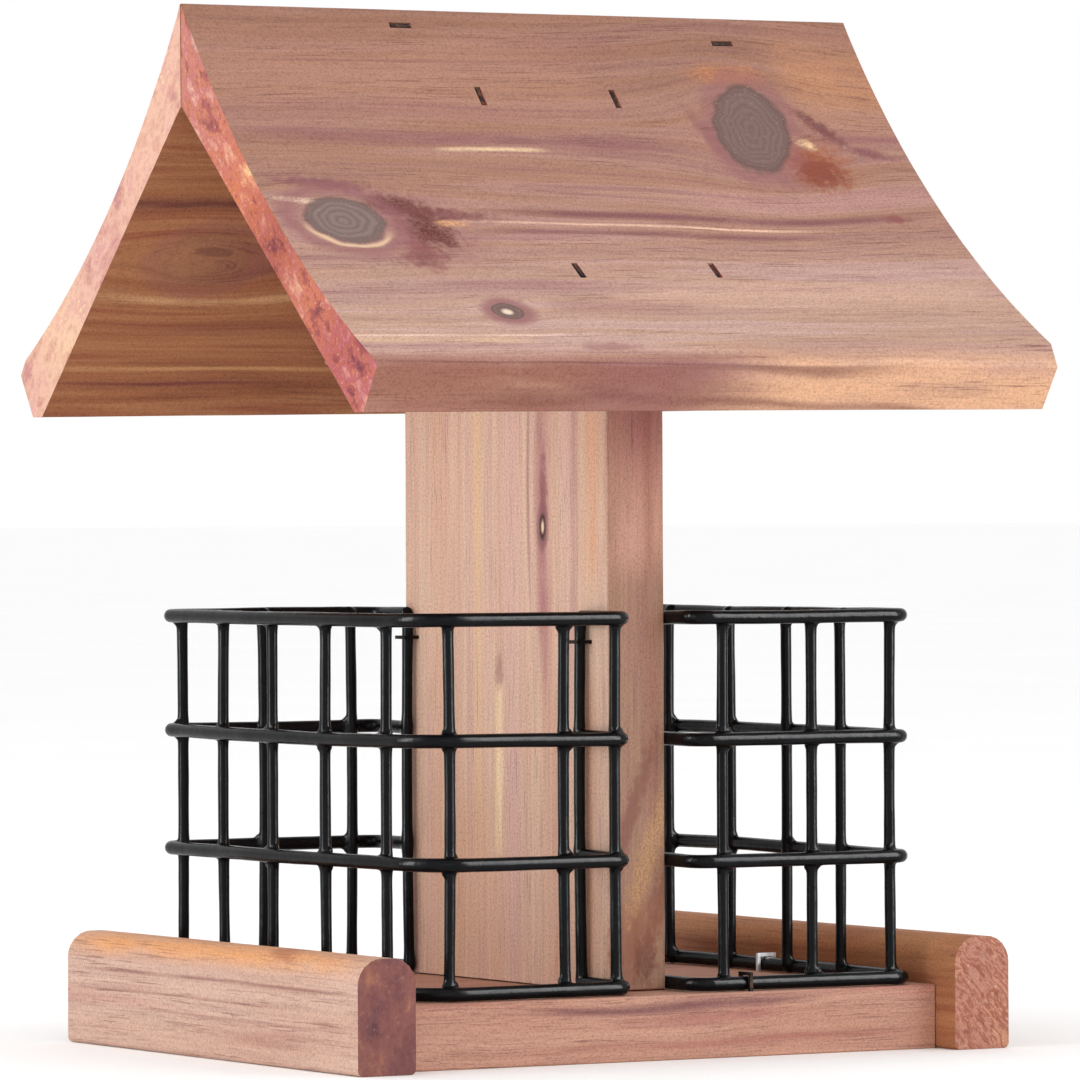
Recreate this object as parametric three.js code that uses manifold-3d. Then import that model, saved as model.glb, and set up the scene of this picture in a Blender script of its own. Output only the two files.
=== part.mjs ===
// Double suet feeder in aromatic cedar: a base board with a rounded rail at each end, one flat upright
// board in the middle, a coved two-board roof and two open-topped wire baskets dipped in black plastic.
// Millimetres, +Z up, X along the ridge, -Y towards the front. The origin is the middle of the underside.
import * as THREE from "three";
import { mergeVertices } from "three/addons/utils/BufferGeometryUtils.js";
import Module from "manifold-3d";

const wasm = await Module();
wasm.setup();

// ---- driving dimensions ----
const GAP = 0.3; // between pieces that touch
const SLOPE_GAP = 0.42; // the same gap, measured straight down from a roof slope
const LUMBER = 22.2; // 7/8 inch boards

const BASE_LENGTH = 212; // along X, between the end rails
const BASE_WIDTH = 186;
const RAIL_LENGTH = 210; // along Y, longer than the base is wide
const RAIL_HEIGHT = 39;
const RAIL_ROUND = 9; // both top edges
const RAIL_EASE = 2; // both bottom edges
const ROUND_STEPS = 6;
const EASE_STEPS = 2;

const UPRIGHT_WIDTH = 140; // along Y
const ROOF_LENGTH = 267; // along X
const RIDGE_Y = 7; // the mitre sits a little behind the middle
const RIDGE_TOP = 360;
const RIDGE_UNDER = 324.3;
const EAVE_Y = 129.5; // outermost line of each eave
const EAVE_Z = 234.5;
const COVE_Y = 125.5; // where the cove meets the flat eave face
const COVE_Z = 240;
const COVE_DRIFT = 2.6; // the front cove line rises by this at +X and falls by it at -X
const COVE_SAG = 10; // depth of the hollow across each slope
const COVE_STEPS = 9;
const TIP_Y = 120; // outer corner of the flat bottom edge
const TIP_INNER_Y = 112.5;
const TIP_Z = 220;
// The boards sit a little askew: the height of each one's bottom edge at -X and at +X.
const FRONT_TIP_Z = [218.9, 220.2];
const REAR_TIP_Z = [219.6, 222];

const CLEAT_HALF_SPAN = 88; // along Y
const CLEAT_BOTTOM = 238;

const RING_RADIUS = 2.3;
const BAR_RADIUS = 1.85;
const RING_PITCH = 41.5;
const RING_COUNT = 4;
const WIRE_SIDES = 8;
const COLLAR_RADIUS = 3.3; // plastic gathered where a bar meets a ring
const COLLAR_REACH = 4.6;
const CAGE_FRONT = 87;
const CAGE_FRONT_OUTER = 90;
const CAGE_REAR = 88;
const CAGE_INNER = 13.7; // centre of the end bars and of the short returns beside the upright
const CAGE_OUTER = 97;
// The two cages are bent by hand, so they differ a little. Each one is given in the right cage's layout:
// how far from the middle its returns stop, and how far each ring sits above an even spacing.
const CAGES = {
  right: { frontReturn: 56, rearReturn: 56, ringLift: [0, 0.3, 0.2, 0] },
  left: { frontReturn: 64, rearReturn: 56, ringLift: [0, 2, 1.4, 0.5] },
};
const CORNER_RADIUS = 6;
const SLACK_CORNER_RADIUS = 17; // the outer rear corner is bent more gently
const SIDE_CURVE_RADIUS = 120; // the long side bows outwards at these two places
const SIDE_CURVES = [
  [99.5, -25],
  [97.5, 45],
];
const SLACK_CORNER_X = 93;
const PLAN_ANGLE_STEP = 0.4; // radians between points on a bend
const BAR_OVERRUN = 1.2; // bar ends past the ring centres
const COLLAR_FLAT = 1; // half height of the thickest part of a collar
// Upright bars in plan, from the inner front corner round to the inner rear one. End bars follow the returns.
const CAGE_BARS = [
  [25.4, -85],
  [60.2, -86.3],
  [92.2, -86.4],
  [96, -48.2],
  [96.8, -11.5],
  [96.6, 26.2],
  [93, 62],
  [82.2, 84.8],
  [37.6, 85.6],
  [17.4, 85.3],
];

const STAPLE_WIRE = 1.2;
const ROOF_STAPLE = { crown: 7.5, leg: 25, sink: 0.4 };
const RIDGE_STAPLE = { crown: 7.5, leg: 14, sink: 0.4 };
const RAIL_STAPLE = { crown: 14, leg: 14, sink: 0.6 };
const SIDE_STAPLE_AT = [98.6, 5.6]; // over the bottom ring at the cage's outer side
const FRONT_STAPLE_AT = [32.5, -87.7]; // over the bottom ring at its front
const BAR_STAPLE_DROP = 8; // below the top ring, over each end bar
const RAIL_STAPLE_Y = 62;
const STAPLE_X = [-29.4, 24.4]; // one column over each cleat
const STAPLE_ROWS = { front: [-17, -83], rear: [29, 85] }; // upper and lower row on each slope

const RIDGE_STAPLES_AT = [
  ["ridge_staple_left", -50, 2.6],
  ["ridge_staple_right", 78.7, 0],
];

const SCREW_Y = 40;
const SCREW_LENGTH = 52;
const SCREW_HEAD_RADIUS = 4.2;
const SCREW_RADIUS = 2;
const SCREW_SINK = 0.6; // the head's flat face above the underside
const SCREW_RIM = 1.4; // where the head starts to taper
const SCREW_POINT = 4; // length of the point
const BORE_RUNOUT = -2; // the bore runs out below the underside
const SCREW_SIDES = 12;

const baseTop = LUMBER;
const uprightBottom = baseTop + GAP;
const railInner = BASE_LENGTH / 2 + GAP;
const ringBase = baseTop + GAP + RING_RADIUS;

// ---- solids ----
function solidFrom(geometry) {
  const bare = new THREE.BufferGeometry();
  const source = geometry.index ? geometry.toNonIndexed() : geometry;
  bare.setAttribute("position", source.getAttribute("position"));
  const merged = mergeVertices(bare, 1e-4);
  return new wasm.Manifold(
    new wasm.Mesh({
      numProp: 3,
      vertProperties: merged.attributes.position.array,
      triVerts: new Uint32Array(merged.index.array),
    }),
  );
}

function geometryFrom(solid) {
  const mesh = solid.getMesh();
  const geometry = new THREE.BufferGeometry();
  geometry.setAttribute("position", new THREE.BufferAttribute(mesh.vertProperties, 3));
  geometry.setIndex(new THREE.BufferAttribute(mesh.triVerts, 1));
  const flat = geometry.toNonIndexed();
  flat.computeVertexNormals();
  return flat;
}

// A solid between two outlines of [y, z] points, one at each end along X, listed anticlockwise seen from +X.
function loft(outlineLow, outlineHigh, xLow, xHigh) {
  const count = outlineLow.length;
  const corner = (outline, x, i) => [x, outline[i % count][0], outline[i % count][1]];
  const contour = outlineLow.map((p) => new THREE.Vector2(p[0], p[1]));
  const positions = [];
  for (let i = 0; i < count; i += 1) {
    const a = corner(outlineLow, xLow, i);
    const b = corner(outlineLow, xLow, i + 1);
    const c = corner(outlineHigh, xHigh, i + 1);
    const d = corner(outlineHigh, xHigh, i);
    positions.push(...a, ...b, ...c, ...a, ...c, ...d);
  }
  for (const [i, j, k] of THREE.ShapeUtils.triangulateShape(contour, [])) {
    positions.push(...corner(outlineHigh, xHigh, i), ...corner(outlineHigh, xHigh, j));
    positions.push(...corner(outlineHigh, xHigh, k));
    positions.push(...corner(outlineLow, xLow, k), ...corner(outlineLow, xLow, j));
    positions.push(...corner(outlineLow, xLow, i));
  }
  const geometry = new THREE.BufferGeometry();
  geometry.setAttribute("position", new THREE.Float32BufferAttribute(positions, 3));
  return solidFrom(geometry);
}

// A straight board: an outline of [y, z] points pushed along X.
function extrudeX(outline, xLow, xHigh) {
  const shape = new THREE.Shape(outline.map(([y, z]) => new THREE.Vector2(y, z)));
  const geometry = new THREE.ExtrudeGeometry(shape, { depth: xHigh - xLow, bevelEnabled: false });
  geometry.applyMatrix4(
    new THREE.Matrix4().makeBasis(
      new THREE.Vector3(0, 1, 0),
      new THREE.Vector3(0, 0, 1),
      new THREE.Vector3(1, 0, 0),
    ),
  );
  geometry.translate(xLow, 0, 0);
  return solidFrom(geometry);
}

function boxBetween(low, high) {
  const size = high.map((v, i) => v - low[i]);
  const geometry = new THREE.BoxGeometry(...size);
  geometry.translate(...low.map((v, i) => v + size[i] / 2));
  return solidFrom(geometry);
}

// ---- staples ----
// crown: the middle of the crown's outer face; along: the crown's direction; inward: the way the legs point.
function staple(spec, crown, along, inward, grow = 0, rise = 0) {
  const half = spec.crown / 2 + grow;
  const bar = STAPLE_WIRE + grow;
  const inner = half - STAPLE_WIRE - 2 * grow;
  const shape = new THREE.Shape();
  shape.moveTo(-half, rise + grow);
  shape.lineTo(-half, -spec.leg - grow);
  shape.lineTo(-inner, -spec.leg - grow);
  shape.lineTo(-inner, -bar);
  shape.lineTo(inner, -bar);
  shape.lineTo(inner, -spec.leg - grow);
  shape.lineTo(half, -spec.leg - grow);
  shape.lineTo(half, rise + grow);
  const depth = STAPLE_WIRE + 2 * grow;
  const geometry = new THREE.ExtrudeGeometry(shape, { depth, bevelEnabled: false });
  geometry.translate(0, 0, -depth / 2);
  const xAxis = new THREE.Vector3(...along).normalize();
  const yAxis = new THREE.Vector3(...inward).normalize().negate();
  const zAxis = new THREE.Vector3().crossVectors(xAxis, yAxis);
  geometry.applyMatrix4(new THREE.Matrix4().makeBasis(xAxis, yAxis, zAxis).setPosition(...crown));
  return solidFrom(geometry);
}

const POCKET_RISE = 4; // a pocket runs out past the face
const staplePocket = (spec, crown, along, inward) =>
  staple(spec, crown, along, inward, GAP, POCKET_RISE);

// ---- roof ----
// The outer face of a slope, side -1 at the front and +1 at the rear, from the ridge to the cove line.
function covePoints(side, coveZ) {
  const start = new THREE.Vector2(RIDGE_Y, RIDGE_TOP);
  const end = new THREE.Vector2(side * COVE_Y, coveZ);
  const chord = end.clone().sub(start);
  const length = chord.length();
  const direction = chord.clone().normalize();
  const outward = new THREE.Vector2(-side * direction.y, side * direction.x);
  const radius = (length * length) / (8 * COVE_SAG) + COVE_SAG / 2;
  const points = [];
  for (let i = 0; i <= COVE_STEPS; i += 1) {
    const t = (i / COVE_STEPS) * length;
    const sag = Math.sqrt(radius ** 2 - (t - length / 2) ** 2) - (radius - COVE_SAG);
    points.push([
      start.x + direction.x * t - outward.x * sag,
      start.y + direction.y * t - outward.y * sag,
    ]);
  }
  return points;
}

function roofOutline(side, coveZ, tipZ) {
  const seam = RIDGE_Y + (side * GAP) / 2;
  const outer = covePoints(side, coveZ);
  outer[0][0] = seam;
  const run = (tipZ - RIDGE_UNDER) / (TIP_Z - RIDGE_UNDER);
  const eave = [
    [side * EAVE_Y, EAVE_Z],
    [side * TIP_Y, tipZ],
    [RIDGE_Y + run * (side * TIP_INNER_Y - RIDGE_Y), tipZ],
    [seam, RIDGE_UNDER],
  ];
  const outline = [...outer, ...eave];
  return side < 0 ? outline : outline.reverse();
}

function roofBoard(side) {
  const drift = side < 0 ? COVE_DRIFT : 0;
  const [tipLow, tipHigh] = side < 0 ? FRONT_TIP_Z : REAR_TIP_Z;
  const low = roofOutline(side, COVE_Z - drift, tipLow);
  const high = roofOutline(side, COVE_Z + drift, tipHigh);
  return loft(low, high, -ROOF_LENGTH / 2, ROOF_LENGTH / 2);
}

// Where a staple sits on a slope: the point on the outer face at this Y, the downhill way and the way in.
function slopeFrame(side, y) {
  const points = covePoints(side, COVE_Z);
  const index = points.findIndex((p) => side * p[0] >= side * y);
  const [a, b] = [points[index - 1], points[index]];
  const t = (y - a[0]) / (b[0] - a[0]);
  const downhill = new THREE.Vector2(b[0] - a[0], b[1] - a[1]).normalize();
  return {
    point: [y, a[1] + (b[1] - a[1]) * t],
    along: [0, downhill.x, downhill.y],
    inward: [0, side * downhill.y, -side * downhill.x],
  };
}

const roofUnderside = (y) => {
  const side = y < RIDGE_Y ? -1 : 1;
  const run = (y - RIDGE_Y) / (side * TIP_INNER_Y - RIDGE_Y);
  return RIDGE_UNDER + (TIP_Z - RIDGE_UNDER) * run - SLOPE_GAP;
};

function gableOutline(halfWidth, bottom) {
  return [
    [-halfWidth, bottom],
    [halfWidth, bottom],
    [halfWidth, roofUnderside(halfWidth)],
    [RIDGE_Y, roofUnderside(RIDGE_Y)],
    [-halfWidth, roofUnderside(-halfWidth)],
  ];
}

// The middle of a crown set a little below the outer face.
function sunkCrown(x, frame, sink) {
  return [x, frame.point[0] + frame.inward[1] * sink, frame.point[1] + frame.inward[2] * sink];
}

const roofStaples = [];
for (const [slope, rows] of Object.entries(STAPLE_ROWS)) {
  rows.forEach((y, row) => {
    const frame = slopeFrame(slope === "front" ? -1 : 1, y);
    STAPLE_X.forEach((x, column) => {
      const place = (row ? "lower" : "upper") + "_" + (column ? "right" : "left");
      const crown = sunkCrown(x, frame, ROOF_STAPLE.sink);
      roofStaples.push({ name: "roof_staple_" + slope + "_" + place, crown, ...frame });
    });
  });
}

const ridgeStaples = RIDGE_STAPLES_AT.map(([name, x, y]) => {
  const frame = slopeFrame(-1, y);
  return { name, crown: sunkCrown(x, frame, RIDGE_STAPLE.sink), inward: frame.inward };
});

function cutRoofPockets(solid) {
  for (const s of roofStaples) {
    solid = solid.subtract(staplePocket(ROOF_STAPLE, s.crown, s.along, s.inward));
  }
  return solid;
}

function cutRidgePockets(solid) {
  for (const s of ridgeStaples) {
    solid = solid.subtract(staplePocket(RIDGE_STAPLE, s.crown, [1, 0, 0], s.inward));
  }
  return solid;
}

// ---- baskets ----
// A polyline of [x, y, radius] with its corners rounded off.
function roundedPath(corners) {
  const points = [];
  corners.forEach(([x, y, radius], i) => {
    const here = new THREE.Vector2(x, y);
    if (!radius) {
      points.push(here);
      return;
    }
    const toPrevious = new THREE.Vector2(...corners[i - 1].slice(0, 2)).sub(here).normalize();
    const toNext = new THREE.Vector2(...corners[i + 1].slice(0, 2)).sub(here).normalize();
    const half = Math.acos(toPrevious.dot(toNext)) / 2;
    const reach = radius / Math.tan(half);
    const start = here.clone().addScaledVector(toPrevious, reach);
    const end = here.clone().addScaledVector(toNext, reach);
    const centre = toPrevious.clone().add(toNext).normalize();
    centre.multiplyScalar(radius / Math.sin(half)).add(here);
    const steps = Math.max(2, Math.round((Math.PI - 2 * half) / PLAN_ANGLE_STEP));
    for (let k = 0; k <= steps; k += 1) {
      const blend = start.clone().sub(centre).lerp(end.clone().sub(centre), k / steps);
      points.push(blend.setLength(radius).add(centre));
    }
  });
  return points;
}

const cagePlan = (bend) =>
  roundedPath([
    [CAGE_INNER, -bend.frontReturn, 0],
    [CAGE_INNER, -CAGE_FRONT, CORNER_RADIUS],
    [CAGE_OUTER, -CAGE_FRONT_OUTER, CORNER_RADIUS],
    [...SIDE_CURVES[0], SIDE_CURVE_RADIUS],
    [...SIDE_CURVES[1], SIDE_CURVE_RADIUS],
    [SLACK_CORNER_X, CAGE_REAR, SLACK_CORNER_RADIUS],
    [CAGE_INNER, CAGE_REAR, CORNER_RADIUS],
    [CAGE_INNER, bend.rearReturn, 0],
  ]);

const ringHeight = (bend, level) => level * RING_PITCH + bend.ringLift[level];

// A curve through plan points at one height, met point by point when it is swept.
class WirePath extends THREE.Curve {
  constructor(points, z) {
    super();
    this.points = points;
    this.z = z;
  }

  getPoint(t, target = new THREE.Vector3()) {
    const along = Math.min(Math.max(t, 0), 1) * (this.points.length - 1);
    const i = Math.min(Math.floor(along), this.points.length - 2);
    const p = this.points[i].clone().lerp(this.points[i + 1], along - i);
    return target.set(p.x, p.y, this.z);
  }

  getUtoTmapping(u) {
    return u;
  }
}

function sweptWire(points, z, radius) {
  const section = new THREE.Shape();
  for (let k = 0; k < WIRE_SIDES; k += 1) {
    const angle = ((k + 0.5) / WIRE_SIDES) * 2 * Math.PI;
    const corner = [Math.cos(angle) * radius, Math.sin(angle) * radius];
    if (k) section.lineTo(...corner);
    else section.moveTo(...corner);
  }
  const extrudePath = new WirePath(points, z);
  return solidFrom(new THREE.ExtrudeGeometry(section, { steps: points.length - 1, extrudePath }));
}

function lathe(profile, segments) {
  const points = profile.map(([r, z]) => new THREE.Vector2(r, z));
  const geometry = new THREE.LatheGeometry(points, segments);
  geometry.rotateX(Math.PI / 2);
  return solidFrom(geometry);
}

// A bar's profile of [radius, z] from the bottom ring's centre: a collar at each ring, half ones at the ends.
function barProfile(bend, collared) {
  const top = ringHeight(bend, RING_COUNT - 1);
  const low = -BAR_OVERRUN;
  const high = top + BAR_OVERRUN;
  if (!collared) return [[0, low], [BAR_RADIUS, low], [BAR_RADIUS, high], [0, high]];
  const profile = [
    [0, low],
    [COLLAR_RADIUS, low],
    [COLLAR_RADIUS, COLLAR_FLAT],
    [BAR_RADIUS, COLLAR_REACH],
  ];
  for (let level = 1; level < RING_COUNT - 1; level += 1) {
    const z = ringHeight(bend, level);
    profile.push([BAR_RADIUS, z - COLLAR_REACH], [COLLAR_RADIUS, z - COLLAR_FLAT]);
    profile.push([COLLAR_RADIUS, z + COLLAR_FLAT], [BAR_RADIUS, z + COLLAR_REACH]);
  }
  profile.push([BAR_RADIUS, top - COLLAR_REACH], [COLLAR_RADIUS, top - COLLAR_FLAT]);
  profile.push([COLLAR_RADIUS, high], [0, high]);
  return profile;
}

function buildCage(bend) {
  const pieces = [];
  for (let level = 0; level < RING_COUNT; level += 1) {
    pieces.push(sweptWire(cagePlan(bend), ringBase + ringHeight(bend, level), RING_RADIUS));
  }
  for (const [x, y] of CAGE_BARS) {
    pieces.push(lathe(barProfile(bend, true), WIRE_SIDES - 2).translate([x, y, ringBase]));
  }
  for (const y of [bend.rearReturn, -bend.frontReturn]) {
    const bar = lathe(barProfile(bend, false), WIRE_SIDES - 2);
    pieces.push(bar.translate([CAGE_INNER, y, ringBase]));
  }
  return wasm.Manifold.union(pieces);
}

// Staples that hold a cage, in the right cage's layout: over the bottom ring, and over the end bars.
const cageTop = ringBase + (RING_COUNT - 1) * RING_PITCH;
const overRing = { crown: 2 * (RING_RADIUS + GAP + STAPLE_WIRE), leg: 17 };
const overBar = { crown: 2 * (BAR_RADIUS + GAP + STAPLE_WIRE), leg: 13 };
const ringCrown = ringBase + RING_RADIUS + GAP + STAPLE_WIRE;
const barCrown = CAGE_INNER + BAR_RADIUS + GAP + STAPLE_WIRE;
const barCrownZ = cageTop - BAR_STAPLE_DROP;
const cageStaples = (bend) => [
  ["base_side", overRing, [...SIDE_STAPLE_AT, ringCrown], [1, 0, 0], [0, 0, -1]],
  ["base_front", overRing, [...FRONT_STAPLE_AT, ringCrown], [0, 1, 0], [0, 0, -1]],
  ["upright_front", overBar, [barCrown, -bend.frontReturn, barCrownZ], [0, 1, 0], [-1, 0, 0]],
  ["upright_rear", overBar, [barCrown, bend.rearReturn, barCrownZ], [0, 1, 0], [-1, 0, 0]],
];

// The left cage is turned half a turn about Z.
const turned = ([x, y, z]) => [-x, -y, z];
const turnedName = { front: "rear", rear: "front", side: "side" };
const cageFixings = [];
for (const [where, spec, crown, along, inward] of cageStaples(CAGES.right)) {
  cageFixings.push({ name: "basket_right_staple_" + where, spec, crown, along, inward });
}
for (const [where, spec, crown, along, inward] of cageStaples(CAGES.left)) {
  const [held, end] = where.split("_");
  cageFixings.push({
    name: "basket_left_staple_" + held + "_" + turnedName[end],
    spec,
    crown: turned(crown),
    along,
    inward: turned(inward),
  });
}

function cutCagePockets(solid) {
  for (const f of cageFixings) {
    solid = solid.subtract(staple(f.spec, f.crown, f.along, f.inward, GAP, 0));
  }
  return solid;
}

// ---- rails, base, upright ----
function railOutline() {
  const outline = [];
  const corners = [
    [RAIL_HEIGHT - RAIL_ROUND, LUMBER - RAIL_ROUND, RAIL_ROUND, 0],
    [RAIL_HEIGHT - RAIL_ROUND, RAIL_ROUND, RAIL_ROUND, Math.PI / 2],
    [RAIL_EASE, RAIL_EASE, RAIL_EASE, Math.PI],
    [RAIL_EASE, LUMBER - RAIL_EASE, RAIL_EASE, (3 * Math.PI) / 2],
  ];
  for (const [z, x, radius, from] of corners) {
    const steps = radius === RAIL_ROUND ? ROUND_STEPS : EASE_STEPS;
    for (let k = 0; k <= steps; k += 1) {
      const angle = from + (k / steps) * (Math.PI / 2);
      outline.push([x + Math.cos(angle) * radius, z + Math.sin(angle) * radius]);
    }
  }
  return outline;
}

const railStaples = [];
for (const side of [-1, 1]) {
  for (const end of [-1, 1]) {
    const name = "rail_staple_" + (side < 0 ? "left_" : "right_") + (end < 0 ? "front" : "rear");
    railStaples.push({ name, crown: [side * railInner, end * RAIL_STAPLE_Y, RAIL_STAPLE.sink] });
  }
}

function cutRailPockets(solid) {
  for (const s of railStaples) {
    solid = solid.subtract(staplePocket(RAIL_STAPLE, s.crown, [1, 0, 0], [0, 0, 1]));
  }
  return solid;
}

function railBoard(side) {
  const shape = new THREE.Shape(railOutline().map(([x, z]) => new THREE.Vector2(x, z)));
  const geometry = new THREE.ExtrudeGeometry(shape, { depth: RAIL_LENGTH, bevelEnabled: false });
  geometry.rotateX(Math.PI / 2);
  geometry.translate(0, RAIL_LENGTH / 2, 0);
  if (side < 0) geometry.translate(-railInner - LUMBER, 0, 0);
  else geometry.translate(railInner, 0, 0);
  return cutRailPockets(solidFrom(geometry));
}

function screwProfile(grow) {
  const head = SCREW_HEAD_RADIUS + grow;
  const shank = SCREW_RADIUS + grow;
  const start = grow ? BORE_RUNOUT : SCREW_SINK;
  return [
    [0, start],
    [head, start],
    [head, SCREW_RIM],
    [shank, SCREW_RIM + head - shank],
    [shank, SCREW_LENGTH - SCREW_POINT + grow],
    [0, SCREW_LENGTH + grow],
  ];
}

function cutScrewBores(solid) {
  for (const end of [-1, 1]) {
    solid = solid.subtract(lathe(screwProfile(GAP), SCREW_SIDES).translate([0, end * SCREW_Y, 0]));
  }
  return solid;
}

function baseBoard() {
  const half = [BASE_LENGTH / 2, BASE_WIDTH / 2];
  let solid = boxBetween([-half[0], -half[1], 0], [half[0], half[1], baseTop]);
  solid = cutCagePockets(solid);
  solid = cutRailPockets(solid);
  return cutScrewBores(solid);
}

function uprightBoard() {
  const outline = gableOutline(UPRIGHT_WIDTH / 2, uprightBottom);
  let solid = extrudeX(outline, -LUMBER / 2, LUMBER / 2);
  solid = cutCagePockets(solid);
  return cutScrewBores(solid);
}

function roofCleat(side) {
  const outline = gableOutline(CLEAT_HALF_SPAN, CLEAT_BOTTOM);
  const near = LUMBER / 2 + GAP;
  const far = near + LUMBER;
  const solid = side < 0 ? extrudeX(outline, -far, -near) : extrudeX(outline, near, far);
  return cutRoofPockets(solid);
}

// ---- assembly ----
const finish = {
  heartwood: { color: 0xb9765a, roughness: 0.78 },
  sapwood: { color: 0xd9ab84, roughness: 0.78 },
  redwood: { color: 0xa8604a, roughness: 0.8 },
  cleat: { color: 0xa56b50, roughness: 0.85 },
  plastic: { color: 0x17181b, roughness: 0.38 },
  darkSteel: { color: 0x3a3028, roughness: 0.5, metalness: 0.8 },
  zinc: { color: 0xc9ccd0, roughness: 0.3, metalness: 0.95 },
};

const group = new THREE.Group();
group.name = "double_suet_feeder";

function add(name, solid, look) {
  const mesh = new THREE.Mesh(geometryFrom(solid), new THREE.MeshStandardMaterial(finish[look]));
  mesh.name = name;
  group.add(mesh);
}

add("base_board", baseBoard(), "heartwood");
add("end_rail_left", railBoard(-1), "heartwood");
add("end_rail_right", railBoard(1), "redwood");
add("upright_board", uprightBoard(), "sapwood");
add("roof_cleat_left", roofCleat(-1), "cleat");
add("roof_cleat_right", roofCleat(1), "cleat");
add("roof_front_board", cutRidgePockets(cutRoofPockets(roofBoard(-1))), "heartwood");
add("roof_rear_board", cutRidgePockets(cutRoofPockets(roofBoard(1))), "heartwood");

add("basket_right", buildCage(CAGES.right), "plastic");
add("basket_left", buildCage(CAGES.left).rotate([0, 0, 180]), "plastic");

for (const s of roofStaples) {
  add(s.name, staple(ROOF_STAPLE, s.crown, s.along, s.inward), "darkSteel");
}
for (const s of ridgeStaples) {
  add(s.name, staple(RIDGE_STAPLE, s.crown, [1, 0, 0], s.inward), "darkSteel");
}
for (const f of cageFixings) {
  const look = f.name.endsWith("side") ? "zinc" : "darkSteel";
  add(f.name, staple(f.spec, f.crown, f.along, f.inward), look);
}
for (const s of railStaples) {
  add(s.name, staple(RAIL_STAPLE, s.crown, [1, 0, 0], [0, 0, 1]), "zinc");
}
for (const end of [-1, 1]) {
  const screw = lathe(screwProfile(0), SCREW_SIDES).translate([0, end * SCREW_Y, 0]);
  add("upright_screw_" + (end < 0 ? "front" : "rear"), screw, "zinc");
}

export default group;
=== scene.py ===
"""Looks for the double suet feeder: cedar boards, black dipped-wire baskets, staples and screws.

Lengths in this file are in millimetres until a mesh is made. The row frame has X along the ridge,
-Y towards the front and Z up, with its origin in the middle of the underside of the base board.
"""
import math
import random

import bmesh
import bpy
import numpy as np
from mathutils import Matrix, Vector, noise


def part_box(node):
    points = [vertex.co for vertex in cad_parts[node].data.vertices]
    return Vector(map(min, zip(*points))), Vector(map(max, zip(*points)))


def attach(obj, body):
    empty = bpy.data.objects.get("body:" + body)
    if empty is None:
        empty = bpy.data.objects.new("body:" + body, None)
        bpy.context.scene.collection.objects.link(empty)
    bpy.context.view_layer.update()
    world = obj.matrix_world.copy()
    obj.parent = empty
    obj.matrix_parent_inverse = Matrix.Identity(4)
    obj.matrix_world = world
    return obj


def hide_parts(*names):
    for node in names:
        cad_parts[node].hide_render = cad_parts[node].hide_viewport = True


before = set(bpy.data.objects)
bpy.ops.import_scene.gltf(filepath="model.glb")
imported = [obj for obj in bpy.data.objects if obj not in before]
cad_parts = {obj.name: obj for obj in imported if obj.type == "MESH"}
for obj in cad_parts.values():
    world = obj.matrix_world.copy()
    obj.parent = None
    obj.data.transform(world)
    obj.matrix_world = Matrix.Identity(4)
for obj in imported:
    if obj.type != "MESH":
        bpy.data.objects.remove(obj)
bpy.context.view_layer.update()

MM = 0.001


def node_box(node):
    """Lowest and highest corner of a CAD node, in millimetres."""
    low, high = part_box(node)
    return np.array(low) / MM, np.array(high) / MM


def rgb(red, green, blue):
    """An 8-bit display colour as linear RGBA."""
    lin = []
    for c in (red, green, blue):
        c /= 255
        lin.append(c / 12.92 if c <= 0.04045 else ((c + 0.055) / 1.055) ** 2.4)
    return (*lin, 1.0)


def shades(*stops):
    """Ramp stops from (place, red, green, blue)."""
    return [(place, rgb(*colour)) for place, *colour in stops]


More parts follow.
